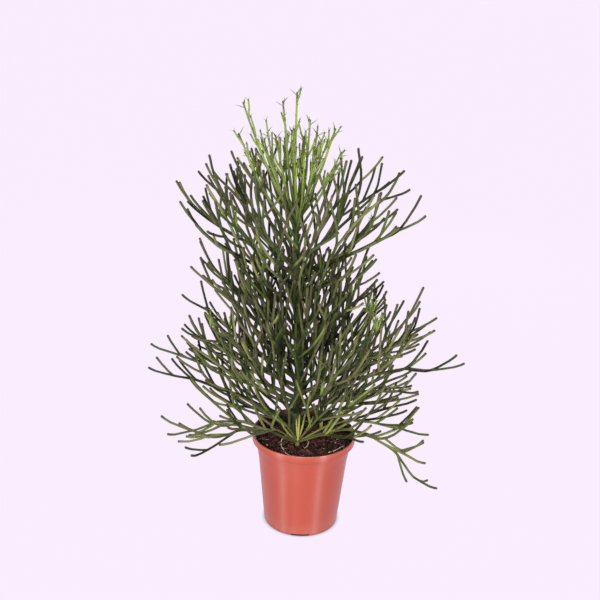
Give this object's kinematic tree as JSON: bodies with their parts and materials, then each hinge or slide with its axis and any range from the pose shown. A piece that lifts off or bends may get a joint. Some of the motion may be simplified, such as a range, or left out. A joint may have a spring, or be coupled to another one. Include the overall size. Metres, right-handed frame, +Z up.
{
  "type": "potted pencil euphorbia",
  "caption": "Bushy pencil-stemmed euphorbia with forked green twigs, standing in peat in a round terracotta-coloured plastic nursery pot.",
  "frame": {"origin": "centre of the flat standing hub under the pot, on the surface that the pot stands on", "axes": "+Z up along the pot's axis, +X to the plant's right-hand side as seen from its front, -Y towards the front"},
  "size_m": [0.4988, 0.3632, 0.7159],
  "materials": {
    "pot_plastic": "satin moulded polypropylene, terracotta colour",
    "peat": "crumbly damp peat with pale specks",
    "green_stem": "waxy olive green succulent skin, greyer where shaded, with brown leaf scars",
    "young_growth": "fresh yellow-green succulent skin with narrow leaves",
    "pale_stem": "waxy green skin, pale yellow-green and tan towards the peat",
    "pale_root": "dry fibrous root"
  },
  "bodies": {
    "root": {"pot": "pot_plastic", "soil": "peat", "main_stem": "green_stem", "young_shoots": "young_growth", "front_cutting": "pale_stem", "rear_cutting": "pale_stem", "surface_root_1": "pale_root", "surface_root_2": "pale_root", "surface_root_3": "pale_root", "surface_root_4": "pale_root"}
  },
  "joints": []
}
